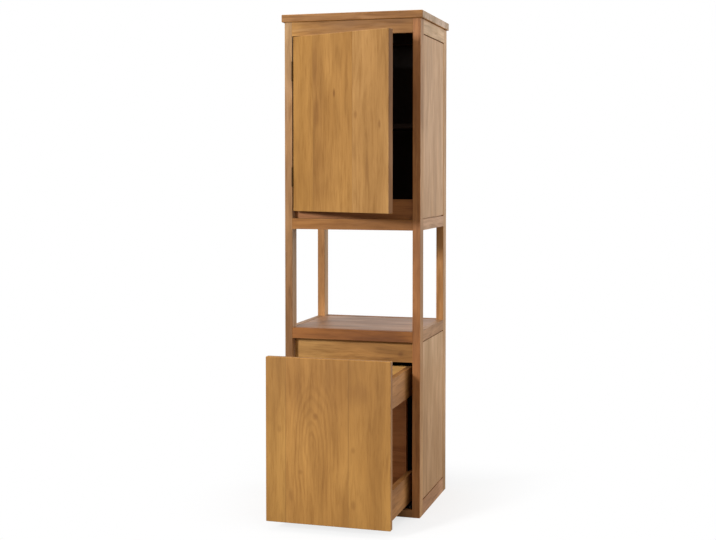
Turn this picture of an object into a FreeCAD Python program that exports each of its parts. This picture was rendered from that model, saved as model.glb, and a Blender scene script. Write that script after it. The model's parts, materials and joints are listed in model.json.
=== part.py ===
import FreeCAD, Part
import os

# Tall bathroom cabinet in oiled teak: four corner posts joined by mortised rails, a cupboard with
# an inset door above, an open niche in the middle, and one tall drawer on telescopic runners below.
#
# Millimetres. X is to the right, Y to the back, Z up. The origin is on the floor, at the middle of
# the space that the cabinet takes up as shown: door ajar, drawer pulled out.
# Places are given as x from the middle, d back from the front plane of the posts, and z up.

# ---- driving dimensions -------------------------------------------------------------------------

# case
body_width = 450.0
body_depth = 380.0
total_height = 1600.0
post_width = 25.0
post_depth = 42.0
rail_thickness = 20.0
edge_chamfer = 1.0

# top board
top_thickness = 24.0
top_overhang_front = 8.0
top_overhang_side = 8.0
top_chamfer = 1.6

# levels of the case
lower_box_height = 591.0
niche_height = 320.0
top_rail_height = 45.0
cupboard_rail_height = 34.5
shelf_rail_height = 33.5
base_front_rail_height = 23.0
base_rail_height = 47.0

# mortise and tenon
tenon_thickness = 8.0
tenon_length = 15.0
tenon_shoulder = 7.0
mortise_play = 0.1
mortise_end_play = 1.0

# dowels that locate the top board
dowel_diameter = 8.0
dowel_in_post = 18.0
dowel_in_top = 14.0

# framed side panels, with a shadow groove above and below the raised field
panel_tongue_thickness = 6.0
panel_tongue_depth = 5.8
panel_groove_inset = 7.0
panel_field_inset = 1.0
panel_shadow_groove = 4.0
panel_play = 0.2

# back panels
back_panel_thickness = 6.0
back_panel_inset = 6.0

# boards that lie inside the frames, and the cleats that carry them
board_thickness = 15.0
board_play = 0.3
cleat_size = 14.0
niche_board_drop = 1.0

# shelf inside the cupboard
cupboard_shelf_rise = 290.0
cupboard_shelf_setback = 110.0
batten_height = 20.0

# recess boards behind the finger gaps
recess_setback = 27.0
recess_thickness = 12.0
recess_tenon_length = 8.0
door_recess_height = 62.5
drawer_recess_height = 68.0

# door
door_thickness = 22.0
door_side_gap = 3.0
door_top_gap = 2.0
door_finger_gap = 24.0
door_rest_angle = 24.0

# butt hinges of the door
hinge_height = 60.0
hinge_leaf_thickness = 1.2
hinge_leaf_width = 18.0
hinge_knuckle_radius = 2.8
hinge_pin_radius = 1.2
hinge_pin_play = 0.05
hinge_pin_head = 1.2
hinge_axis_forward = 2.6
hinge_knuckle_count = 5
hinge_knuckle_gap = 0.3
hinge_end_distance = 80.0
hinge_screw_count = 3
hinge_screw_diameter = 2.8
hinge_screw_head = 5.2
hinge_screw_length = 14.0

# ball catch in the top edge of the door
catch_from_edge = 40.0
catch_barrel_diameter = 9.0
catch_barrel_length = 12.0
catch_ball_diameter = 6.0
catch_ball_rise = 1.5
catch_ball_play = 0.05
strike_length = 24.0
strike_width = 10.0
strike_thickness = 1.0

# drawer
drawer_front_thickness = 22.0
drawer_side_gap = 3.0
drawer_floor_gap = 5.0
drawer_finger_gap = 23.5
drawer_post_clearance = 16.0
drawer_side_thickness = 18.0
drawer_back_clearance = 38.0
drawer_side_bottom = 40.0
drawer_rail_height = 91.0
drawer_recess_clearance = 18.5
drawer_tenon_length = 10.0
drawer_bottom_rise = 12.0
drawer_bottom_thickness = 8.0
drawer_bottom_groove = 6.0
drawer_rest_travel = 255.0

# screws through the drawer sides into its back
back_screw_diameter = 4.0
back_screw_head = 8.0
back_screw_length = 40.0
back_screw_spacing = 50.0

# telescopic runners under the drawer
runner_front_gap = 2.0
runner_back_gap = 6.0
runner_width = 46.0
runner_from_side = 8.0
runner_wall = 1.5
runner_channel_height = 7.6
runner_lip = 9.0
runner_play = 0.3
runner_member_gap = 0.8
bearer_floor_gap = 8.0

# ---- sizes that follow --------------------------------------------------------------------------

front_y = (drawer_rest_travel - body_depth) / 2
half_width = body_width / 2
post_inner = half_width - post_width
rail_inner = half_width - rail_thickness

top_underside = total_height - top_thickness
top_rail_bottom = top_underside - top_rail_height
niche_bottom = lower_box_height
shelf_rail_bottom = niche_bottom - shelf_rail_height
niche_top = niche_bottom + niche_height
cupboard_bottom = niche_top + cupboard_rail_height

tongue_outer = half_width - panel_groove_inset
tongue_inner = tongue_outer - panel_tongue_thickness
back_panel_front = body_depth - back_panel_inset - back_panel_thickness

door_bottom = cupboard_bottom + door_finger_gap
door_top = top_rail_bottom - door_top_gap
door_edge = post_inner - door_side_gap

drawer_front_bottom = base_front_rail_height + drawer_floor_gap
drawer_front_top = shelf_rail_bottom - drawer_finger_gap
drawer_front_edge = post_inner - drawer_side_gap
drawer_outer = post_inner - drawer_post_clearance
drawer_inner = drawer_outer - drawer_side_thickness
drawer_back_end = back_panel_front - drawer_back_clearance
drawer_recess_bottom = shelf_rail_bottom - drawer_recess_height
drawer_top_height = drawer_recess_bottom - drawer_recess_clearance

hinge_axis_x = -(post_inner - door_side_gap / 2)
hinge_axis_d = -hinge_axis_forward

runner_setback = drawer_front_thickness + runner_front_gap
runner_length = drawer_back_end - runner_back_gap - runner_setback
runner_outer = drawer_inner - runner_from_side
runner_inner = runner_outer - runner_width
runner_stack = 2 * runner_channel_height + runner_member_gap
drawer_bottom_z = drawer_side_bottom + drawer_bottom_rise
bearer_top = drawer_bottom_z - runner_stack

# ---- shapes -------------------------------------------------------------------------------------


def vector(x, d, z):
    return FreeCAD.Vector(x, front_y + d, z)


def box(x0, x1, d0, d1, z0, z1):
    return Part.makeBox(x1 - x0, d1 - d0, z1 - z0, vector(x0, d0, z0))


def rod(radius, length, start, direction):
    return Part.makeCylinder(radius, length, start, direction)


def chamfered(solid, size, along=None):
    """Chamfer every edge of a plain solid, or only the edges that run along one direction."""
    edges = []
    for edge in solid.Edges:
        run = edge.tangentAt(edge.FirstParameter)
        if along is None or abs(run.dot(along)) > 0.999:
            edges.append(edge)
    return solid.makeChamfer(size, edges)


def cut_by(solid, tools):
    """Cut away the tools that reach into the solid."""
    touching = [tool for tool in tools if solid.BoundBox.intersect(tool.BoundBox)]
    return solid.cut(touching) if touching else solid


def mirrored(solid):
    return solid.mirror(FreeCAD.Vector(0, 0, 0), FreeCAD.Vector(1, 0, 0))


def both_sides(solid):
    return [mirrored(solid), solid]


def grown(solid_box, x_play, d_play, z_play):
    """A box a little larger than the bounds of another, for the pocket that it seats in."""
    b = solid_box.BoundBox
    return Part.makeBox(
        b.XLength + 2 * x_play,
        b.YLength + 2 * d_play,
        b.ZLength + 2 * z_play,
        FreeCAD.Vector(b.XMin - x_play, b.YMin - d_play, b.ZMin - z_play),
    )


def countersunk_screw(head_diameter, diameter, length, start, direction):
    """A flat-headed screw whose head lies flush with the start point."""
    head_height = (head_diameter - diameter) / 2
    head = Part.makeCone(head_diameter / 2, diameter / 2, head_height, start, direction)
    neck_start = start + direction * head_height
    shank_length = length - head_height - diameter
    shank = rod(diameter / 2, shank_length, neck_start, direction)
    tip_start = neck_start + direction * shank_length
    tip = Part.makeCone(diameter / 2, diameter / 10, diameter, tip_start, direction)
    return head.fuse([shank, tip]).removeSplitter()


# ---- rails and their joints ---------------------------------------------------------------------

mortises = []


def cross_piece(d0, thickness, tenon_reach, z0, z1):
    """A rail or board that runs from the left posts to the right posts, with a tenon at each end."""
    middle = d0 + thickness / 2
    piece = box(-post_inner, post_inner, d0, d0 + thickness, z0, z1)
    tenon = box(
        post_inner,
        post_inner + tenon_reach,
        middle - tenon_thickness / 2,
        middle + tenon_thickness / 2,
        z0 + tenon_shoulder,
        z1 - tenon_shoulder,
    )
    mortises.extend(both_sides(grown(tenon, mortise_end_play, mortise_play, mortise_play)))
    return piece.fuse(both_sides(tenon))


def side_rail(z0, z1):
    """A rail of the right side, from the front post to the back post, with tenons."""
    middle = half_width - rail_thickness / 2
    d0 = post_depth
    d1 = body_depth - post_depth
    rail = box(rail_inner, half_width, d0, d1, z0, z1)
    tenons = [
        box(
            middle - tenon_thickness / 2,
            middle + tenon_thickness / 2,
            start,
            start + tenon_length,
            z0 + tenon_shoulder,
            z1 - tenon_shoulder,
        )
        for start in (d0 - tenon_length, d1)
    ]
    for tenon in tenons:
        mortises.extend(both_sides(grown(tenon, mortise_play, mortise_end_play, mortise_play)))
    return rail.fuse(tenons)


rail_back = body_depth - rail_thickness
rail_levels = {
    "top_rail": (top_rail_bottom, top_underside),
    "cupboard_rail": (niche_top, cupboard_bottom),
    "shelf_rail": (shelf_rail_bottom, niche_bottom),
    "base_rail": (0.0, base_rail_height),
}

rails = {}
for level, (z0, z1) in rail_levels.items():
    front_top = base_front_rail_height if level == "base_rail" else z1
    rails[level + "_front"] = cross_piece(0.0, rail_thickness, tenon_length, z0, front_top)
    rails[level + "_back"] = cross_piece(rail_back, rail_thickness, tenon_length, z0, z1)
    right = side_rail(z0, z1)
    rails[level + "_left"], rails[level + "_right"] = both_sides(right)

# ---- panels -------------------------------------------------------------------------------------

grooves = []


def side_panel(z0, z1):
    """A framed panel of the right side: a tongue all round in the grooves, a raised field outside."""
    d0 = post_depth
    d1 = body_depth - post_depth
    tongue = box(
        tongue_inner + mortise_play,
        tongue_outer - mortise_play,
        d0 - panel_tongue_depth,
        d1 + panel_tongue_depth,
        z0 - panel_tongue_depth,
        z1 + panel_tongue_depth,
    )
    field = box(
        tongue_inner + mortise_play,
        half_width - panel_field_inset,
        d0 + panel_play,
        d1 - panel_play,
        z0 + panel_shadow_groove,
        z1 - panel_shadow_groove,
    )
    grooves.extend(both_sides(grown(tongue, mortise_play, panel_play, panel_play)))
    return tongue.fuse(field)


def back_panel(z0, z1):
    """A thin panel held in grooves all round at the back."""
    reach = panel_tongue_depth
    panel = box(
        -post_inner - reach,
        post_inner + reach,
        back_panel_front + mortise_play,
        back_panel_front + back_panel_thickness - mortise_play,
        z0 - reach,
        z1 + reach,
    )
    grooves.append(grown(panel, panel_play, mortise_play, panel_play))
    return panel


upper_side = side_panel(cupboard_bottom, top_rail_bottom)
lower_side = side_panel(base_rail_height, shelf_rail_bottom)
upper_back = back_panel(cupboard_bottom, top_rail_bottom)
lower_back = back_panel(base_rail_height, shelf_rail_bottom)

# ---- top board and dowels -----------------------------------------------------------------------


def top_board():
    board = box(
        -half_width - top_overhang_side,
        half_width + top_overhang_side,
        -top_overhang_front,
        body_depth,
        top_underside,
        total_height,
    )
    return chamfered(board, top_chamfer)


def top_dowels():
    length = dowel_in_post + dowel_in_top
    x = half_width - post_width / 2
    dowels = []
    for d in (post_depth / 2, body_depth - post_depth / 2):
        start = vector(x, d, top_underside - dowel_in_post)
        dowel = rod(dowel_diameter / 2, length, start, FreeCAD.Vector(0, 0, 1))
        dowels.extend(both_sides(chamfered_rod(dowel)))
    return dowels


def chamfered_rod(solid):
    circles = [edge for edge in solid.Edges if edge.Closed]
    return solid.makeChamfer(edge_chamfer, circles)


dowels = top_dowels()

# ---- boards inside the frame --------------------------------------------------------------------


def frame_board(top, thickness):
    """A board that fills the frame between the rails and is notched round the four posts."""
    x = rail_inner - board_play
    board = box(-x, x, rail_thickness + board_play, rail_back - board_play, top - thickness, top)
    notch_x = post_inner - board_play
    notch_d = post_depth + board_play
    front = box(notch_x, half_width, 0.0, notch_d, top - thickness, top)
    back = box(notch_x, half_width, body_depth - notch_d, body_depth, top - thickness, top)
    return board.cut(both_sides(front) + both_sides(back))


def side_cleats(top):
    """Square cleats along both side rails, under a board."""
    cleat = box(
        rail_inner - cleat_size,
        rail_inner,
        post_depth,
        body_depth - post_depth,
        top - cleat_size,
        top,
    )
    return both_sides(cleat)


def recess_board(z0, z1):
    return cross_piece(recess_setback, recess_thickness, recess_tenon_length, z0, z1)


def recess_cleats(z0, z1):
    """Glue blocks behind the ends of a recess board, notched round the front posts."""
    start = recess_setback + recess_thickness
    block = box(post_inner - cleat_size, tongue_inner, start, start + cleat_size, z0, z1)
    corner = box(post_inner, half_width, 0.0, post_depth, z0, z1)
    return both_sides(block.cut(corner))


niche_board_top = niche_bottom - niche_board_drop
niche_board_bottom = niche_board_top - board_thickness
cupboard_floor_bottom = cupboard_bottom - board_thickness
shelf_bottom = cupboard_bottom + cupboard_shelf_rise
door_recess_top = cupboard_bottom + door_recess_height

door_recess_board = recess_board(cupboard_bottom, door_recess_top)
drawer_recess_board = recess_board(drawer_recess_bottom, niche_board_bottom)


def cupboard_shelf():
    x = tongue_inner - board_play
    back = body_depth - post_depth - board_play
    board = box(-x, x, cupboard_shelf_setback, back, shelf_bottom, shelf_bottom + board_thickness)
    return chamfered(board, edge_chamfer, FreeCAD.Vector(1, 0, 0))


def shelf_battens():
    batten = box(
        post_inner,
        tongue_inner,
        cupboard_shelf_setback + cleat_size,
        body_depth - post_depth,
        shelf_bottom - batten_height,
        shelf_bottom,
    )
    return both_sides(batten)


# ---- hinges and catch, with the door shut -------------------------------------------------------

hinge_levels = (door_bottom + hinge_end_distance, door_top - hinge_end_distance - hinge_height)
knuckle_pitch = hinge_height / hinge_knuckle_count
up = FreeCAD.Vector(0, 0, 1)


def knuckle(bottom, index, radius, height):
    start = vector(hinge_axis_x, hinge_axis_d, bottom + index * knuckle_pitch)
    return rod(radius, height, start, up)


def hinge_leaf(bottom, x0, own_first):
    """One leaf of a butt hinge: every second knuckle is its own, the others are cut clear."""
    plate = box(x0, x0 + hinge_leaf_thickness, hinge_axis_d, hinge_leaf_width, bottom, bottom + hinge_height)
    clear_radius = hinge_knuckle_radius + hinge_knuckle_gap
    for index in range(hinge_knuckle_count):
        if index % 2 != own_first:
            start = bottom + index * knuckle_pitch - hinge_knuckle_gap
            slot = rod(
                clear_radius,
                knuckle_pitch + hinge_knuckle_gap,
                vector(hinge_axis_x, hinge_axis_d, start),
                up,
            )
            plate = plate.cut(slot)
    barrels = [
        knuckle(bottom, index, hinge_knuckle_radius, knuckle_pitch - hinge_knuckle_gap)
        for index in range(own_first, hinge_knuckle_count, 2)
    ]
    bore = rod(
        hinge_pin_radius + hinge_pin_play,
        hinge_height,
        vector(hinge_axis_x, hinge_axis_d, bottom),
        up,
    )
    return plate.fuse(barrels).cut(bore).removeSplitter()


def hinge_pin(bottom):
    """A pin with a domed head at each end, as long as the hinge."""
    start = vector(hinge_axis_x, hinge_axis_d, bottom - hinge_knuckle_gap)
    length = hinge_height + hinge_knuckle_gap
    shaft = rod(hinge_pin_radius, length, start, up)
    lower_head = rod(hinge_knuckle_radius, hinge_pin_head, start - up * hinge_pin_head, up)
    upper_head = rod(hinge_knuckle_radius, hinge_pin_head, start + up * length, up)
    return shaft.fuse([lower_head, upper_head])


def hinge_screws(bottom, face_x, direction):
    """Screws through one leaf, their heads flush with the leaf's free face."""
    pitch = hinge_height / hinge_screw_count
    d = hinge_leaf_width / 2 + edge_chamfer
    return [
        countersunk_screw(
            hinge_screw_head,
            hinge_screw_diameter,
            hinge_screw_length,
            vector(face_x, d, bottom + (index + 0.5) * pitch),
            FreeCAD.Vector(direction, 0, 0),
        )
        for index in range(hinge_screw_count)
    ]


post_leaf_x = -post_inner
door_leaf_x = -door_edge - hinge_leaf_thickness
post_screws = []
door_screws = []
for level in hinge_levels:
    post_screws += hinge_screws(level, post_leaf_x + hinge_leaf_thickness, -1)
    door_screws += hinge_screws(level, door_leaf_x, 1)
post_leaves = [cut_by(hinge_leaf(level, post_leaf_x, 0), post_screws) for level in hinge_levels]
door_leaves = [cut_by(hinge_leaf(level, door_leaf_x, 1), door_screws) for level in hinge_levels]
hinge_pins = [hinge_pin(level) for level in hinge_levels]

catch_x = door_edge - catch_from_edge
catch_d = door_thickness / 2


def catch_hole():
    start = vector(catch_x, catch_d, door_top - catch_barrel_length)
    return rod(catch_barrel_diameter / 2, catch_barrel_length, start, up)


def ball_catch():
    """A barrel set in the door's top edge, and the sprung ball that stands proud of it."""
    ball_radius = catch_ball_diameter / 2
    centre = vector(catch_x, catch_d, door_top + catch_ball_rise - ball_radius)
    floor = vector(catch_x, catch_d, centre.z - ball_radius - catch_ball_play)
    bore = rod(ball_radius + catch_ball_play, catch_barrel_length, floor, up)
    return [catch_hole().cut(bore), Part.makeSphere(ball_radius, centre)]


def strike_plate():
    """A thin plate let into the rail above the ball, with a hole that the ball snaps into."""
    plate = box(
        catch_x - strike_length / 2,
        catch_x + strike_length / 2,
        catch_d - strike_width / 2,
        catch_d + strike_width / 2,
        top_rail_bottom,
        top_rail_bottom + strike_thickness,
    )
    hole = rod(catch_ball_diameter / 2 - 0.5, strike_thickness, vector(catch_x, catch_d, top_rail_bottom), up)
    return plate.cut(hole)


def door_board():
    board = box(-door_edge, door_edge, 0.0, door_thickness, door_bottom, door_top)
    board = chamfered(board, edge_chamfer)
    return cut_by(board, door_screws + [catch_hole()])


strike_pocket = box(
    catch_x - strike_length / 2,
    catch_x + strike_length / 2,
    catch_d - strike_width / 2,
    catch_d + strike_width / 2,
    top_rail_bottom,
    top_rail_bottom + strike_thickness,
)

# ---- drawer, shut -------------------------------------------------------------------------------

drawer_levels = {
    "lower": (drawer_side_bottom, drawer_side_bottom + drawer_rail_height),
    "upper": (drawer_top_height - drawer_rail_height, drawer_top_height),
}
drawer_mortises = []


def drawer_side(z0, z1):
    """One side rail of the drawer's right side, tenoned into the front."""
    middle = (drawer_inner + drawer_outer) / 2
    rail = box(drawer_inner, drawer_outer, drawer_front_thickness, drawer_back_end, z0, z1)
    tenon = box(
        middle - tenon_thickness / 2,
        middle + tenon_thickness / 2,
        drawer_front_thickness - drawer_tenon_length,
        drawer_front_thickness,
        z0 + tenon_shoulder,
        z1 - tenon_shoulder,
    )
    drawer_mortises.extend(both_sides(grown(tenon, mortise_play, mortise_play, mortise_play)))
    return rail.fuse(tenon)


def drawer_bottom():
    """A thin board in the grooves of the lower rails and of the front; the back stands on it."""
    top = drawer_bottom_z + drawer_bottom_thickness
    x = drawer_inner + drawer_bottom_groove
    board = box(-x, x, drawer_front_thickness, drawer_back_end, drawer_bottom_z, top)
    lip_start = drawer_front_thickness - drawer_bottom_groove
    lip = box(-drawer_inner, drawer_inner, lip_start, drawer_front_thickness, drawer_bottom_z, top)
    return board.fuse(lip).removeSplitter()


def drawer_back():
    start = drawer_back_end - drawer_side_thickness
    bottom = drawer_bottom_z + drawer_bottom_thickness
    return box(-drawer_inner, drawer_inner, start, drawer_back_end, bottom, drawer_top_height)


def drawer_back_screws():
    d = drawer_back_end - drawer_side_thickness / 2
    screws = []
    for z0, z1 in drawer_levels.values():
        low = max(z0, drawer_bottom_z + drawer_bottom_thickness)
        for offset in (-back_screw_spacing / 2, back_screw_spacing / 2):
            screw = countersunk_screw(
                back_screw_head,
                back_screw_diameter,
                back_screw_length,
                vector(drawer_outer, d, (low + z1) / 2 + offset),
                FreeCAD.Vector(-1, 0, 0),
            )
            screws.extend(both_sides(screw))
    return screws


def drawer_front():
    board = box(
        -drawer_front_edge,
        drawer_front_edge,
        0.0,
        drawer_front_thickness,
        drawer_front_bottom,
        drawer_front_top,
    )
    return chamfered(board, edge_chamfer)


# ---- telescopic runners, shut -------------------------------------------------------------------


def runner_profile(outline):
    """Extrude a right-hand runner section, given as x and z points, over the runner's length."""
    points = [vector(x, runner_setback, z) for x, z in outline]
    face = Part.Face(Part.makePolygon(points + points[:1]))
    return face.extrude(FreeCAD.Vector(0, runner_length, 0))


def channel(bottom, opens_up):
    """A lipped channel: web, two walls and two lips turned in over the middle member."""
    x0, x1 = runner_inner, runner_outer
    w, lip, h = runner_wall, runner_lip, runner_channel_height
    outline = [
        (x0, 0), (x1, 0), (x1, h), (x1 - lip, h), (x1 - lip, h - w), (x1 - w, h - w),
        (x1 - w, w), (x0 + w, w), (x0 + w, h - w), (x0 + lip, h - w), (x0 + lip, h), (x0, h),
    ]
    if opens_up:
        return runner_profile([(x, bottom + z) for x, z in outline])
    return runner_profile([(x, bottom + h - z) for x, z in outline])


def middle_member(bottom):
    """An I section whose two flanges run inside the two channels."""
    inset = runner_wall + runner_play
    x0, x1 = runner_inner + inset, runner_outer - inset
    web0, web1 = runner_inner + runner_lip + runner_play, runner_outer - runner_lip - runner_play
    z0, z3 = bottom + inset, bottom + runner_stack - inset
    flange = runner_channel_height - 2 * inset
    z1, z2 = z0 + flange, z3 - flange
    outline = [
        (x0, z0), (x1, z0), (x1, z1), (web1, z1), (web1, z2), (x1, z2),
        (x1, z3), (x0, z3), (x0, z2), (web0, z2), (web0, z1), (x0, z1),
    ]
    return runner_profile(outline)


def runner_bearer():
    """The wooden bearer under a runner, stepped down at the front to pass under the drawer front."""
    x0, x1 = runner_inner, runner_outer
    foot = box(x0, x1, rail_thickness, rail_back, bearer_floor_gap, base_front_rail_height)
    head = box(x0, x1, runner_setback, rail_back, base_front_rail_height, bearer_top)
    return foot.fuse(head).removeSplitter()


# ---- pieces that stand still --------------------------------------------------------------------

frame_cuts = mortises + grooves
parts = {}


def post(d0):
    solid = box(post_inner, half_width, d0, d0 + post_depth, 0.0, top_underside)
    return chamfered(solid, edge_chamfer, up)


for name, d0 in (("post_front", 0.0), ("post_back", body_depth - post_depth)):
    left, right = both_sides(post(d0))
    parts[name + "_left"] = cut_by(left, frame_cuts + dowels + post_screws)
    parts[name + "_right"] = cut_by(right, frame_cuts + dowels)

for name, rail in rails.items():
    cuts = grooves + [strike_pocket] if name == "top_rail_front" else grooves
    parts[name] = cut_by(rail, cuts)

parts["top_board"] = cut_by(top_board(), dowels)
parts["top_dowels"] = dowels
parts["upper_side_panel_left"], parts["upper_side_panel_right"] = both_sides(upper_side)
parts["lower_side_panel_left"], parts["lower_side_panel_right"] = both_sides(lower_side)
parts["upper_back_panel"] = upper_back
parts["lower_back_panel"] = lower_back
parts["cupboard_floor"] = frame_board(cupboard_bottom, board_thickness)
parts["cupboard_floor_cleats"] = side_cleats(cupboard_floor_bottom)
parts["cupboard_shelf"] = cupboard_shelf()
parts["cupboard_shelf_battens"] = shelf_battens()
parts["door_recess_board"] = door_recess_board
parts["door_recess_cleats"] = recess_cleats(cupboard_bottom, door_recess_top)
parts["niche_shelf"] = frame_board(niche_board_top, board_thickness)
parts["niche_shelf_cleats"] = side_cleats(niche_board_bottom)
parts["drawer_recess_board"] = drawer_recess_board
parts["drawer_recess_cleats"] = recess_cleats(drawer_recess_bottom, shelf_rail_bottom)
parts["hinge_post_leaves"] = post_leaves
parts["hinge_post_screws"] = post_screws
parts["hinge_pins"] = hinge_pins
parts["catch_strike"] = strike_plate()
parts["runner_bearers"] = both_sides(runner_bearer())
parts["runner_cabinet_members"] = both_sides(channel(bearer_top, True))

# ---- pieces of the door, turned open to the rest angle ------------------------------------------

door_parts = {
    "door_board": door_board(),
    "hinge_door_leaves": door_leaves,
    "hinge_door_screws": door_screws,
    "door_ball_catch": ball_catch(),
}

# ---- pieces of the drawer, pulled out to the rest travel ----------------------------------------

back_screws = drawer_back_screws()
bottom_board = drawer_bottom()
lip_groove = box(
    -drawer_inner,
    drawer_inner,
    drawer_front_thickness - drawer_bottom_groove,
    drawer_front_thickness,
    drawer_bottom_z,
    drawer_bottom_z + drawer_bottom_thickness,
)
drawer_parts = {
    "drawer_bottom": bottom_board,
    "drawer_back": cut_by(drawer_back(), back_screws),
    "drawer_back_screws": back_screws,
    "runner_drawer_members": both_sides(channel(drawer_bottom_z - runner_channel_height, False)),
}
for level, (z0, z1) in drawer_levels.items():
    side = cut_by(drawer_side(z0, z1), back_screws + [bottom_board])
    pair = both_sides(side)
    drawer_parts["drawer_" + level + "_side_left"] = pair[0]
    drawer_parts["drawer_" + level + "_side_right"] = pair[1]
drawer_parts["drawer_front"] = cut_by(drawer_front(), drawer_mortises + [lip_groove])

middle_parts = {"runner_middle_members": both_sides(middle_member(bearer_top))}

# ---- rest pose and files ------------------------------------------------------------------------


def as_shape(pieces):
    return Part.makeCompound(pieces) if isinstance(pieces, list) else pieces


def add_moved(group, travel):
    for name, pieces in group.items():
        shape = as_shape(pieces)
        parts[name] = shape.translated(FreeCAD.Vector(0, -travel, 0))


add_moved(drawer_parts, drawer_rest_travel)
add_moved(middle_parts, drawer_rest_travel / 2)
for name, pieces in door_parts.items():
    shape = as_shape(pieces)
    parts[name] = shape.rotated(vector(hinge_axis_x, hinge_axis_d, 0), up, -door_rest_angle)

os.makedirs("parts", exist_ok=True)
for name, pieces in parts.items():
    shape = as_shape(pieces)
    if not shape.isValid():
        raise ValueError(name + " is not a valid solid")
    shape.exportStep("parts/" + name + ".step")
    print(name, len(shape.Solids), round(shape.Volume))
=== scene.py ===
import bpy
import json
import math
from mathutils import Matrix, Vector


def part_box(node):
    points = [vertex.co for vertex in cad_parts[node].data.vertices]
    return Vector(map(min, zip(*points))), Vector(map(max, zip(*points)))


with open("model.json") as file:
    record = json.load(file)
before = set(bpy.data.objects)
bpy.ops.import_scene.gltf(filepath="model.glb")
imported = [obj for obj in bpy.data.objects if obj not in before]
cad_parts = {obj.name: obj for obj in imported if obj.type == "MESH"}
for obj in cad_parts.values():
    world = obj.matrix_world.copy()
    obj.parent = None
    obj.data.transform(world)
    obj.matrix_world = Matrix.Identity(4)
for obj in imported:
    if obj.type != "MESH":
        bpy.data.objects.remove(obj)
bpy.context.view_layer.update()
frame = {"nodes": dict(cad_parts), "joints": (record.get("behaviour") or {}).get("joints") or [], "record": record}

# ---- places read from the frame ---------------------------------------------------------------

post_low, post_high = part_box("post_front_right")
back_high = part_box("post_back_right")[1]
drawer_back_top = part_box("drawer_back")[1][2]
case_front = post_low[1]
case_right = post_high[0]
case_back = back_high[1]

door_hinge = next(joint for joint in frame["joints"] if joint["name"] == "door_hinge")
door_angle = math.radians(-door_hinge["range_deg"][0])  # how far the door stands open as shown
hinge_x, hinge_y = door_hinge["pos_m"][:2]

# ---- small node helpers -----------------------------------------------------------------------

WHITE = (1.0, 1.0, 1.0, 1.0)

# Sockets that share their names with others of the same node, and so go by their place.
MIX_FACTOR, MIX_FIRST, MIX_SECOND, MIX_RESULT = 0, 6, 7, 2
FIRST_SHADER, SECOND_SHADER = 1, 2


def new_material(name):
    """An empty material: its node tree, with one shader that is joined to the output."""
    material = bpy.data.materials.new(name)
    material.use_nodes = True
    tree = material.node_tree
    tree.nodes.clear()
    output = tree.nodes.new("ShaderNodeOutputMaterial")
    shader = tree.nodes.new("ShaderNodeBsdfPrincipled")
    tree.links.new(shader.outputs["BSDF"], output.inputs["Surface"])
    return material, tree, shader


def srgb(red, green, blue):
    """A colour given in 0 to 255 screen values, as the linear colour that nodes take."""
    def linear(value):
        value /= 255.0
        return value / 12.92 if value <= 0.04045 else ((value + 0.055) / 1.055) ** 2.4
    return (linear(red), linear(green), linear(blue), 1.0)


def grey(value):
    return (value, value, value, 1.0)


def times(colour, factors):
    return tuple(component * factor for component, factor in zip(colour, factors)) + (1.0,)


def connect(tree, value, socket):
    """Set a socket to a number or a colour, or link it to another node's output."""
    if isinstance(value, (int, float, tuple)):
        socket.default_value = value
    else:
        tree.links.new(value, socket)


def object_place(tree):
    return tree.nodes.new("ShaderNodeTexCoord").outputs["Object"]


def mapping(tree, vector, scale=(1.0, 1.0, 1.0), turn=0.0, offset=(0.0, 0.0, 0.0)):
    node = tree.nodes.new("ShaderNodeMapping")
    node.inputs["Scale"].default_value = scale
    node.inputs["Rotation"].default_value = (0.0, 0.0, turn)
    node.inputs["Location"].default_value = offset
    tree.links.new(vector, node.inputs["Vector"])
    return node.outputs["Vector"]


def parts_of(tree, vector):
    """The X, Y and Z of a vector, each as an output of its own."""
    node = tree.nodes.new("ShaderNodeSeparateXYZ")
    tree.links.new(vector, node.inputs["Vector"])
    return node.outputs


def noise(tree, vector, detail=3.0, roughness=0.55, distortion=0.0, output="Fac"):
    node = tree.nodes.new("ShaderNodeTexNoise")
    node.inputs["Scale"].default_value = 1.0
    node.inputs["Detail"].default_value = detail
    node.inputs["Roughness"].default_value = roughness
    node.inputs["Distortion"].default_value = distortion
    tree.links.new(vector, node.inputs["Vector"])
    return node.outputs[output]


def ramp(tree, value, stops):
    """Turn a value into a colour. stops lists (position, colour)."""
    node = tree.nodes.new("ShaderNodeValToRGB")
    elements = node.color_ramp.elements
    while len(elements) < len(stops):
        elements.new(0.5)
    for element, (position, colour) in zip(elements, stops):
        element.position = position
        element.color = (*colour, 1.0)
    tree.links.new(value, node.inputs["Fac"])
    return node.outputs["Color"]


def reckon(tree, operation, *values):
    """One sum on numbers or on the outputs of other nodes."""
    node = tree.nodes.new("ShaderNodeMath")
    node.operation = operation
    for socket, value in zip(node.inputs, values):
        connect(tree, value, socket)
    return node.outputs["Value"]


def size_of(tree, value):
    return reckon(tree, "ABSOLUTE", value)


def square_of(tree, value):
    return reckon(tree, "POWER", value, 2.0)


def fade(tree, value, low, high, start=0.0, end=1.0):
    """Turn a value that runs from low to high into one that runs softly from start to end."""
    node = tree.nodes.new("ShaderNodeMapRange")
    node.interpolation_type = "SMOOTHSTEP"
    node.inputs["From Min"].default_value = low
    node.inputs["From Max"].default_value = high
    node.inputs["To Min"].default_value = start
    node.inputs["To Max"].default_value = end
    tree.links.new(value, node.inputs["Value"])
    return node.outputs["Result"]


def mix(tree, factor, first, second, blend="MIX"):
    node = tree.nodes.new("ShaderNodeMix")
    node.data_type = "RGBA"
    node.blend_type = blend
    connect(tree, factor, node.inputs[MIX_FACTOR])
    connect(tree, first, node.inputs[MIX_FIRST])
    connect(tree, second, node.inputs[MIX_SECOND])
    return node.outputs[MIX_RESULT]


def tinted(tree, body, tint):
    """The body's colour times a tint."""
    return mix(tree, 1.0, body, tint, "MULTIPLY")


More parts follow.
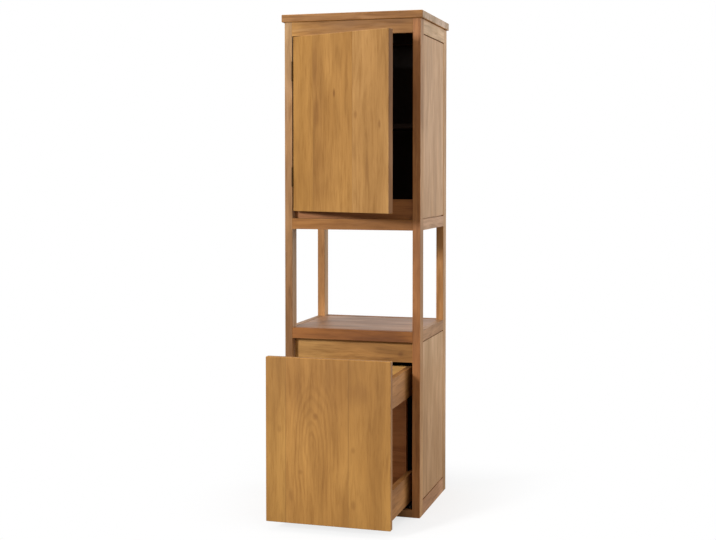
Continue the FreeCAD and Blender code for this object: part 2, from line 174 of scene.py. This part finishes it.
def tinted_where(tree, share, body, tint):
    """The body's colour, with the tint only as far as the share goes."""
    return mix(tree, share, body, tinted(tree, body, tint))


# ---- teak -------------------------------------------------------------------------------------

AXES = {"X": 0, "Y": 1, "Z": 2}

# Tints of red, green and blue that are laid over the body's colour. DARK_SPOT darkens knots and streaks, and on
# some boards paints shade; PAINTED_LIGHT_TINT and PAINTED_PALE_LIGHT_TINT paint light and sheen; ARRIS_HIGHLIGHT
# paints highlights on the arrises.
DARK_SPOT = (0.52, 0.42, 0.30, 1.0)
PAINTED_LIGHT_TINT = (1.65, 2.30, 1.90, 1.0)
PAINTED_PALE_LIGHT_TINT = (1.35, 1.65, 2.20, 1.0)
ARRIS_HIGHLIGHT = (1.28, 1.32, 1.45, 1.0)

# Each piece takes its wood from a place of its own, by its seed, and each pattern by its shift.
SEED_STEP = (1.37, 2.11, 0.73)
SHIFT_STEP = (1.0, -1.0, 0.5)

# The patterns of the wood, from broad to fine, with their cells per metre.
BROAD_FIGURE = {"across": 9.0, "lengthways": 2.6, "shift": 0.0, "roughness": 0.6, "distortion": 0.3}
BANDS = {"across": 30.0, "lengthways": 3.4, "shift": 4.0, "roughness": 0.6, "distortion": 0.4}
STREAKS = {"across": 105.0, "lengthways": 7.5, "shift": 9.0, "detail": 4.0, "roughness": 0.62,
           "distortion": 0.4}
FIBRES = {"across": 480.0, "lengthways": 24.0, "shift": 15.0, "roughness": 0.65}
RING_WOBBLE = {"across": 22.0, "lengthways": 7.0, "shift": 21.0, "detail": 2.0}

# How much the figure takes from, and adds to, red, green and blue where the contrast is 1,
# and over which values of its pattern it turns from dark to light.
FIGURE_DARK = (0.20, 0.25, 0.36)
FIGURE_LIGHT = (0.17, 0.21, 0.32)
FIGURE_RANGE = (0.32, 0.68)

# Ramps: (place in the pattern, share of red, green and blue). The first shade is the darkest.
BAND_SHADES = [(0.34, (1.0, 0.97, 0.90)), (0.56, (1.03, 1.03, 1.03)), (0.74, (1.10, 1.11, 1.12))]
STREAK_SHADES = [(0.30, (1.0, 0.95, 0.86)), (0.50, (1.0, 1.0, 1.0)), (0.70, (1.06, 1.06, 1.05))]
FIBRE_SHADES = [(0.34, (0.74, 0.69, 0.62)), (0.47, (1.0, 1.0, 1.0)), (0.70, (1.05, 1.05, 1.05))]
RING_SHADES = [(0.0, (0.80, 0.75, 0.66)), (0.5, (1.0, 1.0, 1.0)), (1.0, (1.05, 1.05, 1.05))]
# How far the darkest bands and streaks go down, and how much of the fibres shows, at contrast 1.
BAND_DEPTH = 0.20
STREAK_DEPTH = 0.26
FIBRE_SHARE = 0.55

# The grain wanders by up to GRAIN_DRIFT metres. Cells per metre across and along it.
WANDER_CELLS = (9.0, 4.0)
WANDER_DETAIL = 1.0
WANDER_ROUGHNESS = 0.5
GRAIN_DRIFT = 0.022

# Each stave takes its grain from another place, and a fine seam parts it from the one before:
# darkest up to SEAM_CORE metres from its line, and gone at SEAM_EDGE.
STAVE_JUMP = {"Y": 3.1, "Z": 7.7}
SEAM_CORE = 0.0004
SEAM_EDGE = 0.0018
SEAM_SHADE = 0.80

# Cathedral figure: rings drawn out along the grain, more so below its heart than above.
ARCH_ABOVE = 0.30
ARCH_BELOW = 0.07
RING_DRIFT = 0.020
RING_RATE = 560.0  # radians per metre: a ring every 11 mm
ARCH_CORE = 0.5  # share of the half width inside which the rings have their full strength
ARCH_FADES_FROM = 0.12  # metres above and below the heart
ARCH_ENDS_AT = 0.24
ARCH_STRENGTH = 0.45

SPOT_CORE = 0.2  # share of a spot's radius inside which the tint has its full strength
FLAT_FACE = 0.9  # a face is flat where its normal has one part above this, otherwise an arris
FACES_FRONT = -0.5  # below this Y of its normal a face is turned to the front

# Dark streaks are rougher than the board, and light ones smoother, by this much.
STREAK_RANGE = (0.25, 0.75)
ROUGHER = 0.10
SMOOTHER = 0.05
PORE_STRENGTH = 0.12
PORE_DEPTH = 0.0003  # metres


def along_grain(along, across, lengthways):
    """Noise scale of a pattern, in cells per metre across and along the grain."""
    scale = [across, across, across]
    scale[AXES[along]] = lengthways
    return tuple(scale)


def deepened(shades, depth):
    """The same ramp, with its first and darkest shade taken down by depth."""
    (place, darkest), *lighter = shades
    return [(place, tuple(share * (1.0 - depth) for share in darkest)), *lighter]


def wandering(tree, spot, along, seed):
    """The place on the piece, moved about a little, so that no grain line is quite straight."""
    cells = mapping(tree, spot, along_grain(along, *WANDER_CELLS), offset=(seed, -seed, 0.0))
    wander = noise(tree, cells, WANDER_DETAIL, WANDER_ROUGHNESS, output="Color")
    drift = tree.nodes.new("ShaderNodeVectorMath")
    drift.operation = "MULTIPLY_ADD"
    tree.links.new(wander, drift.inputs[0])
    drift.inputs[1].default_value = (GRAIN_DRIFT, GRAIN_DRIFT, GRAIN_DRIFT)
    tree.links.new(spot, drift.inputs[2])
    return drift.outputs["Vector"]


def laid_staves(tree, grain_spot, across, staves):
    """Where each stave takes its grain from, with the tints of the staves and the seams' shade."""
    tint = staves[0][1]
    seams = 1.0
    for start, colour in staves[1:]:
        passed = reckon(tree, "GREATER_THAN", across, start)
        tint = mix(tree, passed, tint, colour)
        jump = tree.nodes.new("ShaderNodeCombineXYZ")
        for axis, length in STAVE_JUMP.items():
            tree.links.new(reckon(tree, "MULTIPLY", passed, length), jump.inputs[axis])
        moved = tree.nodes.new("ShaderNodeVectorMath")
        moved.operation = "ADD"
        tree.links.new(grain_spot, moved.inputs[0])
        tree.links.new(jump.outputs["Vector"], moved.inputs[1])
        grain_spot = moved.outputs["Vector"]
        from_seam = size_of(tree, reckon(tree, "SUBTRACT", across, start))
        seam = fade(tree, from_seam, SEAM_CORE, SEAM_EDGE, SEAM_SHADE, 1.0)
        seams = reckon(tree, "MULTIPLY", seams, seam)
    return grain_spot, tint, seams


def cathedral(tree, body, across, height, arches, wobble):
    """Pointed rings over the body's colour. arches gives their middle x, height and half width."""
    middle, heart, half_width = arches
    offcentre = reckon(tree, "SUBTRACT", across, middle)
    rise = reckon(tree, "SUBTRACT", height, heart)
    above = reckon(tree, "MULTIPLY", reckon(tree, "MAXIMUM", rise, 0.0), ARCH_ABOVE)
    below = reckon(tree, "MULTIPLY", reckon(tree, "MINIMUM", rise, 0.0), ARCH_BELOW)
    drawn_out = reckon(tree, "ADD", above, below)
    squares = reckon(tree, "ADD", square_of(tree, drawn_out), square_of(tree, offcentre))
    straight = reckon(tree, "SQRT", squares)
    from_heart = reckon(tree, "ADD", straight, reckon(tree, "MULTIPLY", wobble, RING_DRIFT))
    rings = reckon(tree, "SINE", reckon(tree, "MULTIPLY", from_heart, RING_RATE))
    sideways = fade(tree, size_of(tree, offcentre), half_width * ARCH_CORE, half_width, 1.0, 0.0)
    upwards = fade(tree, size_of(tree, rise), ARCH_FADES_FROM, ARCH_ENDS_AT, ARCH_STRENGTH, 0.0)
    ring_tone = ramp(tree, fade(tree, rings, -1.0, 1.0), RING_SHADES)
    return tinted_where(tree, reckon(tree, "MULTIPLY", sideways, upwards), body, ring_tone)


def spotted(tree, body, spot, places, tint):
    """Soft oval spots of a tint. places lists (x, z, half width, half height, strength)."""
    for x, z, half_width, half_height, strength in places:
        scale = (1.0 / half_width, 0.0, 1.0 / half_height)
        offset = (-x / half_width, 0.0, -z / half_height)
        radius = tree.nodes.new("ShaderNodeVectorMath")
        radius.operation = "LENGTH"
        tree.links.new(mapping(tree, spot, scale, offset=offset), radius.inputs[0])
        share = fade(tree, radius.outputs["Value"], SPOT_CORE, 1.0, strength, 0.0)
        body = tinted_where(tree, share, body, tint)
    return body


def faces_dressed(tree, body, turn, tone, sides, inside):
    """Painted highlights on the arrises, and tones of their own for the faces turned to the sides or to the front:
    painted sheen and painted shade.
    """
    normal = tree.nodes.new("ShaderNodeTexCoord").outputs["Normal"]
    if turn:
        normal = mapping(tree, normal, turn=turn)
    facing = parts_of(tree, normal)
    depth_and_height = reckon(tree, "MAXIMUM", size_of(tree, facing["Y"]), size_of(tree, facing["Z"]))
    flatness = reckon(tree, "MAXIMUM", size_of(tree, facing["X"]), depth_and_height)
    # Arrises: a painted highlight.
    body = tinted_where(tree, reckon(tree, "LESS_THAN", flatness, FLAT_FACE), body, ARRIS_HIGHLIGHT)
    # Faces turned to the sides: painted sheen on some pieces, painted shade on others.
    if sides:
        sideways = reckon(tree, "GREATER_THAN", size_of(tree, facing["X"]), FLAT_FACE)
        side_tint = tuple(there / here for there, here in zip(sides, tone))
        body = tinted_where(tree, sideways, body, side_tint)
    # Faces turned to the front: painted shade inside the case.
    if inside:
        body = mix(tree, reckon(tree, "LESS_THAN", facing["Y"], FACES_FRONT), body, inside)
    return body


def teak(name, along, tone, seed, place=None, staves=(), arches=None, dark=(), painted_light_spots=(), painted_pale_light_spots=(),
         roughness=0.58, contrast=1.0, specular=0.38, sides=None, inside=None):
    """Oiled teak: broad figure, bands, streaks, fibres and pores that run along one axis.

    tone is the middle colour. place (turn, offset) brings a turned piece into its own axes.
    staves lists (x where the stave starts, tint). arches gives the middle x, the height and
    the half width of a cathedral figure. dark lists spots of knots and streaks, and on some
    boards of painted shade; sapwood and bleached list spots of painted light and sheen. Each
    spot is (x, z, half width, half height, strength). sides is the tone of the faces turned
    to the sides: painted sheen on some pieces, painted shade on others. inside is the colour
    of a face that is turned to the front: painted shade inside the case. Every arris gets a
    painted highlight."""
    material, tree, shader = new_material(name)
    spot = object_place(tree)
    turn = 0.0
    if place:
        turn, offset = place
        spot = mapping(tree, spot, turn=turn, offset=offset)
    coordinates = parts_of(tree, spot)
    across, height = coordinates["X"], coordinates["Z"]
    grain_spot = wandering(tree, spot, along, seed)
    if staves:
        grain_spot, tint, seams = laid_staves(tree, grain_spot, across, staves)

    def pattern(across, lengthways, shift, detail=3.0, roughness=0.55, distortion=0.0):
        offset = tuple(seed * own + shift * further for own, further in zip(SEED_STEP, SHIFT_STEP))
        cells = mapping(tree, grain_spot, along_grain(along, across, lengthways), offset=offset)
        return noise(tree, cells, detail, roughness, distortion)

    streaks = pattern(**STREAKS)
    fibres = pattern(**FIBRES)

    low = times(tone, (1.0 - share * contrast for share in FIGURE_DARK))
    high = times(tone, (1.0 + share * contrast for share in FIGURE_LIGHT))
    body = mix(tree, fade(tree, pattern(**BROAD_FIGURE), *FIGURE_RANGE), low, high)
    body = tinted(tree, body, ramp(tree, pattern(**BANDS), deepened(BAND_SHADES, BAND_DEPTH * contrast)))
    body = tinted(tree, body, ramp(tree, streaks, deepened(STREAK_SHADES, STREAK_DEPTH * contrast)))
    body = mix(tree, FIBRE_SHARE * contrast, body, ramp(tree, fibres, FIBRE_SHADES), "MULTIPLY")
    if arches:
        body = cathedral(tree, body, across, height, arches, pattern(**RING_WOBBLE))
    body = spotted(tree, body, spot, dark, DARK_SPOT)
    body = spotted(tree, body, spot, painted_light_spots, PAINTED_LIGHT_TINT)
    body = spotted(tree, body, spot, painted_pale_light_spots, PAINTED_PALE_LIGHT_TINT)
    if staves:
        body = tinted(tree, tinted(tree, body, tint), seams)
    body = faces_dressed(tree, body, turn, tone, sides, inside)
    tree.links.new(body, shader.inputs["Base Color"])

    uneven = fade(tree, streaks, *STREAK_RANGE, roughness + ROUGHER, roughness - SMOOTHER)
    tree.links.new(uneven, shader.inputs["Roughness"])
    shader.inputs["Specular IOR Level"].default_value = specular

    pores = tree.nodes.new("ShaderNodeBump")
    pores.inputs["Strength"].default_value = PORE_STRENGTH
    pores.inputs["Distance"].default_value = PORE_DEPTH
    tree.links.new(fibres, pores.inputs["Height"])
    tree.links.new(pores.outputs["Normal"], shader.inputs["Normal"])
    return material


# ---- plain finishes ---------------------------------------------------------------------------

# Flecks and wear: cells per metre, the shade of a fleck, and what wear does to the roughness.
FLECK_CELLS = (90.0, 90.0, 90.0)
FLECK_SHADE = (0.78, 0.78, 0.78)
WEAR_CELLS = (240.0, 240.0, 240.0)
WEAR_RANGE = (0.3, 0.7)
POLISHED = 0.06
WORN = 0.08


def plain(name, colour, roughness, metallic=0.0):
    """A finish of one colour with small flecks and uneven wear."""
    material, tree, shader = new_material(name)
    spot = object_place(tree)
    flecks = noise(tree, mapping(tree, spot, FLECK_CELLS))
    tree.links.new(mix(tree, flecks, colour, times(colour, FLECK_SHADE)), shader.inputs["Base Color"])
    wear = noise(tree, mapping(tree, spot, WEAR_CELLS))
    uneven = fade(tree, wear, *WEAR_RANGE, roughness - POLISHED, roughness + WORN)
    tree.links.new(uneven, shader.inputs["Roughness"])
    shader.inputs["Metallic"].default_value = metallic
    return material


# ---- staves and spots of the single boards, with their painted light and shade ----------------

# The door stands turned about its hinge, so its wood is laid out in its own axes: x runs from the
# hinge along the door.
hinge_across = hinge_x * math.cos(door_angle) - hinge_y * math.sin(door_angle)
hinge_deep = hinge_x * math.sin(door_angle) + hinge_y * math.cos(door_angle)
door_place = (door_angle, (-hinge_across, -hinge_deep, 0.0))
door_staves = [
    (0.0, (0.90, 0.88, 0.79, 1.0)),
    (0.088, (0.97, 0.97, 0.97, 1.0)),
    (0.252, (1.01, 1.06, 1.28, 1.0)),
]
door_dark = [
    (0.096, 1.435, 0.016, 0.110, 0.50),
    (0.102, 1.285, 0.018, 0.070, 0.50),
    (0.105, 1.250, 0.045, 0.360, 0.28),
    (0.177, 1.342, 0.006, 0.020, 0.85),
    (0.265, 1.272, 0.010, 0.018, 0.50),
    (0.361, 1.241, 0.006, 0.020, 0.60),
    (0.312, 1.100, 0.012, 0.070, 0.40),
    (0.259, 1.155, 0.010, 0.040, 0.35),
    (0.130, 1.080, 0.090, 0.150, 0.22),
]
drawer_staves = [
    (-0.25, (0.93, 0.95, 0.93, 1.0)),
    (-0.133, (0.97, 0.97, 0.97, 1.0)),
    (0.066, (0.94, 0.94, 0.92, 1.0)),
]
drawer_arches = (-0.046, 0.27, 0.085)

ALL_WIDE = 3.0  # a half width or half height that takes in the whole piece

# The drawer front: darker towards its top, painted shade; the smaller spots are knots.
drawer_knots_and_painted_shade = [
    (0.0, 0.54, ALL_WIDE, 0.30, 0.35),
    (-0.039, 0.358, 0.011, 0.016, 0.50),
    (-0.153, 0.315, 0.010, 0.018, 0.35),
    (-0.086, 0.187, 0.011, 0.011, 0.35),
    (0.100, 0.434, 0.050, 0.050, 0.28),
    (0.081, 0.263, 0.010, 0.014, 0.35),
    (0.083, 0.097, 0.012, 0.022, 0.45),
    (-0.115, 0.115, 0.012, 0.030, 0.40),
]
left_post_dark = [(0.0, 1.05, ALL_WIDE, 0.16, 0.25), (0.0, 0.66, ALL_WIDE, 0.34, 0.70)]
# The left post paler towards its top: painted sheen.
left_post_painted_sheen = [(0.0, 1.58, ALL_WIDE, 0.30, 0.50)]
# The right post darker at its top and around the niche, which tones down its lit front: painted shade.
right_post_painted_shade = [(0.0, 1.56, ALL_WIDE, 0.45, 0.42), (0.0, 0.74, ALL_WIDE, 0.42, 0.45)]
# The side panels: a little darker over the upper panels, painted shade against their sheen, and darker towards the
# foot; paler along the top of the lower panels, a painted highlight.
panel_painted_shade = [(0.0, 1.05, ALL_WIDE, 0.55, 0.12), (0.0, 0.15, ALL_WIDE, 0.25, 0.18)]
panel_painted_sheen = [(0.0, 0.57, ALL_WIDE, 0.16, 0.25)]
top_rail_dark = [(0.12, 1.55, 0.34, ALL_WIDE, 0.75)]
# The cupboard rail darker over its right half, where the door's shadow falls: painted shade. It is also a little
# darker at its left end.
cupboard_rail_painted_shade = [(0.25, 0.93, 0.28, ALL_WIDE, 0.75), (-0.19, 0.93, 0.08, ALL_WIDE, 0.20)]
shelf_rail_dark = [(0.085, 0.57, 0.16, ALL_WIDE, 0.60)]
# The drawer's recess board: a knot; darker over its right half, painted shade; paler at its left end, painted
# light.
recess_knot_and_painted_shade = [(0.155, 0.515, 0.014, 0.012, 0.50), (0.20, 0.52, 0.35, ALL_WIDE, 0.25)]
recess_painted_light = [(-0.20, 0.52, 0.18, ALL_WIDE, 0.50)]
# The drawer back paler and more golden along its top: painted light.
drawer_back_painted_light = [(0.0, drawer_back_top, ALL_WIDE, 0.09, 1.0)]

# ---- which piece is made of what --------------------------------------------------------------

# A near-black brown for the boards and faces inside the case: painted shade.
INSIDE_PAINTED_SHADE = srgb(34, 22, 15)

wooden_pieces = [
    # The posts' faces turned to the sides take paler tones: painted sheen.
    (["post_front_left"],
     teak("post_left", "Z", srgb(152, 108, 59), 1.0, dark=left_post_dark, painted_pale_light_spots=left_post_painted_sheen,
          sides=srgb(212, 178, 142))),
    (["post_front_right"],
     teak("post_right", "Z", srgb(172, 114, 61), 2.0, dark=right_post_painted_shade, sides=srgb(182, 137, 90))),
    (["post_back_left", "post_back_right"],
     teak("post_back", "Z", srgb(178, 125, 70), 3.0, specular=0.30, sides=srgb(182, 144, 104))),
    (["top_rail_front"],
     teak("top_rail", "X", srgb(172, 121, 50), 4.0, dark=top_rail_dark)),
    # Its face turned to the front, inside the case, in the near-black brown: painted shade.
    (["top_rail_back"],
     teak("top_back_rail", "X", srgb(166, 116, 49), 4.5, inside=INSIDE_PAINTED_SHADE)),
    (["cupboard_rail_front"],
     teak("cupboard_rail", "X", srgb(149, 95, 30), 5.0, dark=cupboard_rail_painted_shade)),
    (["cupboard_rail_back", "shelf_rail_back", "base_rail_back"],
     teak("back_rail", "X", srgb(150, 102, 54), 5.5)),
    (["shelf_rail_front"],
     teak("shelf_rail", "X", srgb(154, 95, 33), 6.0, dark=shelf_rail_dark)),
    (["base_rail_front"],
     teak("base_rail", "X", srgb(162, 110, 62), 7.0)),
    # The rails and panels of the sides take paler, bluer tones than those of the front: the wood's tone with a
    # painted sheen of the side faces.
    (["top_rail_left", "top_rail_right"],
     teak("side_top_rail", "Y", srgb(198, 161, 117), 8.5, roughness=0.50, specular=0.40)),
    (["cupboard_rail_left", "cupboard_rail_right", "shelf_rail_left", "shelf_rail_right"],
     teak("side_rail", "Y", srgb(175, 132, 92), 8.0, roughness=0.50, specular=0.40)),
    (["base_rail_left", "base_rail_right"],
     teak("side_base_rail", "Y", srgb(175, 128, 89), 9.0, specular=0.5)),
    (["upper_side_panel_left", "upper_side_panel_right",
      "lower_side_panel_left", "lower_side_panel_right"],
     teak("side_panel", "Z", srgb(185, 144, 101), 10.0, roughness=0.50, contrast=0.6, specular=0.36,
          dark=panel_painted_shade, painted_pale_light_spots=panel_painted_sheen)),
    # Its faces turned to the sides take a paler tone: painted sheen.
    (["top_board"],
     teak("top_board", "X", srgb(151, 101, 41), 11.0, sides=srgb(181, 154, 127))),
    (["niche_shelf"],
     teak("niche_shelf", "X", srgb(166, 119, 81), 12.0, roughness=0.45, specular=0.5)),
    (["door_recess_board", "door_recess_cleats"],
     teak("door_recess", "X", srgb(156, 98, 46), 13.0)),
    (["drawer_recess_board", "drawer_recess_cleats"],
     teak("drawer_recess", "X", srgb(173, 122, 58), 14.0, dark=recess_knot_and_painted_shade, painted_pale_light_spots=recess_painted_light)),
    # Its edges turned to the sides take a darker tone: painted shade.
    (["door_board"],
     teak("door", "Z", srgb(167, 120, 60), 15.0, contrast=0.65, specular=0.25, place=door_place,
          staves=door_staves, dark=door_dark, sides=srgb(134, 84, 26))),
    # Its edges turned to the sides take a darker tone: painted shade.
    (["drawer_front"],
     teak("drawer_front", "Z", srgb(177, 126, 59), 16.0, contrast=0.6, staves=drawer_staves,
          arches=drawer_arches, dark=drawer_knots_and_painted_shade, sides=srgb(165, 116, 67))),
    # The back panels: a dark tone, and the near-black brown on their faces turned to the front: painted shade
    # inside the case.
    (["upper_back_panel", "lower_back_panel"],
     teak("back_panel", "Z", srgb(66, 45, 31), 19.0, specular=0.2, inside=INSIDE_PAINTED_SHADE)),
    # The boards inside the cupboard in the near-black brown: painted shade.
    (["cupboard_floor", "cupboard_shelf", "cupboard_shelf_battens", "cupboard_floor_cleats"],
     teak("inner_board", "X", INSIDE_PAINTED_SHADE, 20.0, specular=0.15)),
    (["drawer_lower_side_left", "drawer_lower_side_right",
      "drawer_upper_side_left", "drawer_upper_side_right"],
     teak("drawer_side", "Y", srgb(162, 111, 58), 17.0)),
    (["drawer_back"],
     teak("drawer_back", "X", srgb(168, 109, 62), 18.0, painted_light_spots=drawer_back_painted_light)),
]
plain_finishes = {
    "bare_wood": plain("bare_wood", srgb(150, 116, 78), 0.7),
    "drawer_ply": plain("drawer_ply", srgb(176, 140, 96), 0.6),
    "zinc_steel": plain("zinc_steel", srgb(176, 178, 182), 0.36, 1.0),
    "brass": plain("brass", srgb(70, 50, 28), 0.45, 1.0),
    "screw_steel": plain("screw_steel", srgb(160, 160, 162), 0.36, 1.0),
}


def dress():
    """Put each piece's material on the slots of its object: its own teak, or its slot's finish."""
    chosen = {entry["node"]: plain_finishes.get(entry["material_slot"])
              for entry in frame["record"]["subparts"]}
    for names, material in wooden_pieces:
        for name in names:
            chosen[name] = material
    for name, piece in frame["nodes"].items():
        for slot in piece.material_slots:
            slot.material = chosen[name]


dress()

# ---- camera -----------------------------------------------------------------------------------

SENSOR_WIDTH = 36.0  # mm
FOCAL_LENGTH = 61.74  # mm
FRAME_SHIFT = (-0.0003, -0.0765)
CAMERA_RIGHT = 1.1220
CAMERA_BEFORE_CASE = 3.7459
CAMERA_HEIGHT = 1.1023
CAMERA_TURN = 0.2856  # radians, to the left
CAMERA_DIP = 0.0370  # radians, below level

camera_data = bpy.data.cameras.new("camera")
camera = bpy.data.objects.new("camera", camera_data)
bpy.context.scene.collection.objects.link(camera)
camera_data.sensor_width = SENSOR_WIDTH
camera_data.lens = FOCAL_LENGTH
camera_data.shift_x, camera_data.shift_y = FRAME_SHIFT
camera.location = (CAMERA_RIGHT, case_front - CAMERA_BEFORE_CASE, CAMERA_HEIGHT)
camera.rotation_euler = (math.pi / 2 - CAMERA_DIP, 0.0, CAMERA_TURN)
bpy.context.scene.camera = camera

# ---- light ------------------------------------------------------------------------------------

# Name, size, power, bearing and rise in degrees, distance, and the height that the lamp is aimed at.
# A bearing of 0 is the front of the cabinet, and it grows to the right.
LAMPS = [
    ("key", 0.6, 118.0, -24.5, 15.0, 4.0, 0.9),
    ("side", 2.0, 58.0, 122.0, 10.0, 3.6, 0.7),
    ("top", 2.4, 40.0, 0.0, 80.0, 4.0, 0.3),
]
WORLD_LIGHT = 0.55
WORLD_SEEN = 1.0


def soft_box(name, size, power, bearing, rise, distance, aim):
    """A square area lamp aimed at a height on the cabinet's front."""
    data = bpy.data.lights.new(name, "AREA")
    data.shape = "RECTANGLE"
    data.size = data.size_y = size
    data.energy = power
    lamp = bpy.data.objects.new(name, data)
    bpy.context.scene.collection.objects.link(lamp)
    bearing, rise = math.radians(bearing), math.radians(rise)
    level = distance * math.cos(rise)
    away = Vector((level * math.sin(bearing), -level * math.cos(bearing), distance * math.sin(rise)))
    lamp.location = Vector((0.0, case_front, aim)) + away
    lamp.rotation_euler = (-away).to_track_quat("-Z", "Y").to_euler()


def white_world():
    """Soft light from all round, and plain white where the camera or a reflection sees it."""
    world = bpy.data.worlds.new("studio")
    bpy.context.scene.world = world
    world.use_nodes = True
    tree = world.node_tree
    background = tree.nodes["Background"]
    background.inputs["Color"].default_value = WHITE
    ray = tree.nodes.new("ShaderNodeLightPath").outputs
    seen = reckon(tree, "MAXIMUM", ray["Is Camera Ray"], ray["Is Glossy Ray"])
    seen = reckon(tree, "MAXIMUM", seen, ray["Is Transmission Ray"])
    strength = fade(tree, seen, 0.0, 1.0, WORLD_LIGHT, WORLD_SEEN)
    tree.links.new(strength, background.inputs["Strength"])


for lamp_values in LAMPS:
    soft_box(*lamp_values)
white_world()

# ---- floor ------------------------------------------------------------------------------------

FLOOR_REACH = 14.0
FLOOR_LIT = grey(0.28)
FLOOR_SHOWN = grey(0.97)
WHITE_BY_CASE = 0.70
WHITE_FAR_OFF = 1.0
WHITE_FADE = 0.45


def floor():
    """A floor that the camera sees as white: a shadow close to the case, pure white further off, and dark grey
    under the case, which is painted shade.
    """
    mesh = bpy.data.meshes.new("floor")
    corners = [(x * FLOOR_REACH, y * FLOOR_REACH, 0) for x, y in ((-1, -1), (1, -1), (1, 1), (-1, 1))]
    mesh.from_pydata(corners, [], [(0, 1, 2, 3)])
    plane = bpy.data.objects.new("floor", mesh)
    bpy.context.scene.collection.objects.link(plane)

    material, tree, shader = new_material("white_floor")
    shader.inputs["Roughness"].default_value = 1.0
    shader.inputs["Specular IOR Level"].default_value = 0.0
    camera_ray = tree.nodes.new("ShaderNodeLightPath").outputs["Is Camera Ray"]
    spot = parts_of(tree, object_place(tree))
    case_middle = (case_front + case_back) / 2
    beside = reckon(tree, "SUBTRACT", size_of(tree, spot["X"]), case_right)
    from_middle = size_of(tree, reckon(tree, "SUBTRACT", spot["Y"], case_middle))
    before = reckon(tree, "SUBTRACT", from_middle, case_back - case_middle)
    from_case = reckon(tree, "MAXIMUM", beside, before)
    # Under the case the camera sees the floor's dark grey: painted shade that deepens the shade inside the case.
    outside = reckon(tree, "GREATER_THAN", from_case, 0.0)
    shown = reckon(tree, "MULTIPLY", outside, camera_ray)
    tree.links.new(mix(tree, shown, FLOOR_LIT, FLOOR_SHOWN), shader.inputs["Base Color"])
    whitening = fade(tree, from_case, 0.0, WHITE_FADE, WHITE_BY_CASE, WHITE_FAR_OFF)
    white = tree.nodes.new("ShaderNodeEmission")
    blend = tree.nodes.new("ShaderNodeMixShader")
    tree.links.new(reckon(tree, "MULTIPLY", shown, whitening), blend.inputs["Fac"])
    tree.links.new(shader.outputs["BSDF"], blend.inputs[FIRST_SHADER])
    tree.links.new(white.outputs["Emission"], blend.inputs[SECOND_SHADER])
    output = next(node for node in tree.nodes if node.bl_idname == "ShaderNodeOutputMaterial")
    tree.links.new(blend.outputs["Shader"], output.inputs["Surface"])
    mesh.materials.append(material)


floor()

bpy.context.scene.view_settings.view_transform = "Standard"
